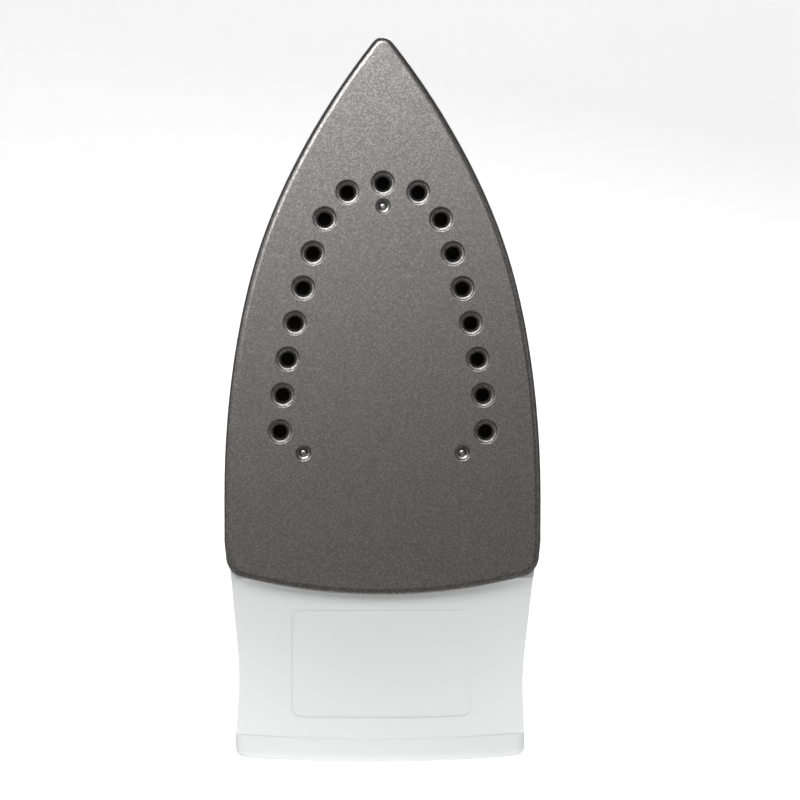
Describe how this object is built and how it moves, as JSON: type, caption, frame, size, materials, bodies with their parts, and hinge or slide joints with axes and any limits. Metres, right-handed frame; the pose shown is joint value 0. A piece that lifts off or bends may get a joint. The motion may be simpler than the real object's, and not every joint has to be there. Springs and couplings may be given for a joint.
{
  "type": "steam iron",
  "caption": "Clothes iron standing on its heel: pointed soleplate with a horseshoe of steam vents, white heel and loop handle, tinted water tank.",
  "frame": {"origin": "centre of the flat heel rest that the iron stands on", "axes": "+Z runs from the heel rest up to the nose, along the sole; +Y runs from the sole towards the handle, so the sole faces -Y; +X runs across the iron"},
  "size_m": [0.1181, 0.1342, 0.272],
  "materials": {
    "sole_coating": "non-stick coating with a fine metallic speckle, satin",
    "white_shell": "fine satin moulding",
    "tank_tint": "clear tinted moulding",
    "grip_rubber": "soft-touch, fine ribs",
    "control_grey": "satin",
    "control_white": "satin",
    "scale_print": "satin with printed marks",
    "pump_plastic": "natural moulding",
    "steel": "drawn",
    "element_steel": "heat-darkened",
    "stamped_aluminium": "stamped sheet",
    "brass": "turned",
    "spring_steel": "bright wire",
    "insulator": "glazed insulator",
    "silicone": "moulded silicone",
    "tube_silicone": "translucent tube",
    "gland_rubber": "moulded",
    "terminal_plastic": "moulded",
    "lead_brown": "insulation",
    "lead_blue": "insulation",
    "lead_green": "insulation",
    "lens_orange": "clear coloured moulding",
    "lamp_glass": "clear"
  },
  "bodies": {
    "body": {"soleplate": "sole_coating", "heating_element": "element_steel", "element_terminals": "steel", "chamber_rivets": "steel", "chamber_seal": "silicone", "chamber_cover": "stamped_aluminium", "thermostat_base": "steel", "thermostat_insulators": "insulator", "thermostat_blades": "brass", "thermostat_rivet": "steel", "spindle_bracket": "steel", "thermal_fuse": "steel", "skirt": "white_shell", "sole_screws": "steel", "tank_lower": "tank_tint", "tank_upper": "tank_tint", "fill_door_pin": "steel", "drip_seat": "silicone", "rod_gland": "silicone", "housing": "white_shell", "rear_cover": "white_shell", "rear_cover_screws": "steel", "handle_cover": "white_shell", "grip_pad": "grip_rubber", "handle_screws": "steel", "pilot_lens": "lens_orange", "pilot_lamp": "lamp_glass", "terminal_block": "terminal_plastic", "terminal_screws": "brass", "lead_live": "lead_brown", "lead_neutral": "lead_blue", "lead_earth": "lead_green", "lead_link": "lead_brown", "spray_nozzle": "control_grey", "pump_bracket": "steel", "spray_pump": "pump_plastic", "burst_pump": "pump_plastic", "pump_intake_tubes": "tube_silicone", "spray_tube": "tube_silicone", "burst_tube": "tube_silicone", "spray_spring": "spring_steel", "burst_spring": "spring_steel", "dial_scale": "scale_print"},
    "dial": {"temperature_dial": "control_white", "thermostat_spindle": "brass"},
    "steam_slider": {"steam_knob": "control_grey"},
    "drip_rod": {"steam_rod": "brass"},
    "spray_control": {"spray_button": "control_grey", "spray_piston": "pump_plastic"},
    "burst_control": {"burst_button": "control_grey", "burst_piston": "pump_plastic"},
    "filler_door": {"fill_door": "control_white"},
    "cord_swivel": {"cord_gland": "gland_rubber"}
  },
  "joints": [
    {"name": "dial_turn", "type": "hinge", "parent": "body", "child": "dial", "pos_m": [0, 0, 0.112], "axis": [0, 1, 0], "range_deg": [0, 280]},
    {"name": "steam_slide", "type": "slide", "parent": "body", "child": "steam_slider", "axis": [0, 0, 1], "range_m": [0, 0.008]},
    {"name": "steam_rod_lift", "type": "slide", "parent": "body", "child": "drip_rod", "axis": [0, 1, 0], "range_m": [0, 0.003]},
    {"name": "spray_press", "type": "slide", "parent": "body", "child": "spray_control", "axis": [0, -1, 0], "range_m": [0, 0.0045], "stiffness_N_per_m": 800, "springref_m": -0.002, "deforming": ["spray_spring"]},
    {"name": "burst_press", "type": "slide", "parent": "body", "child": "burst_control", "axis": [0, -1, 0], "range_m": [0, 0.0045], "stiffness_N_per_m": 800, "springref_m": -0.002, "deforming": ["burst_spring"]},
    {"name": "fill_door_open", "type": "hinge", "parent": "body", "child": "filler_door", "pos_m": [0, -0.01833, 0.2286], "axis": [-1, 0, 0], "range_deg": [0, 95]},
    {"name": "cord_swivel_turn", "type": "hinge", "parent": "body", "child": "cord_swivel", "pos_m": [0, 0.05, 0.026], "axis": [0, 1, 0], "continuous": true}
  ],
  "couplings": [
    {"joint": "steam_rod_lift", "follows": "steam_slide", "ratio": 0.375}
  ]
}
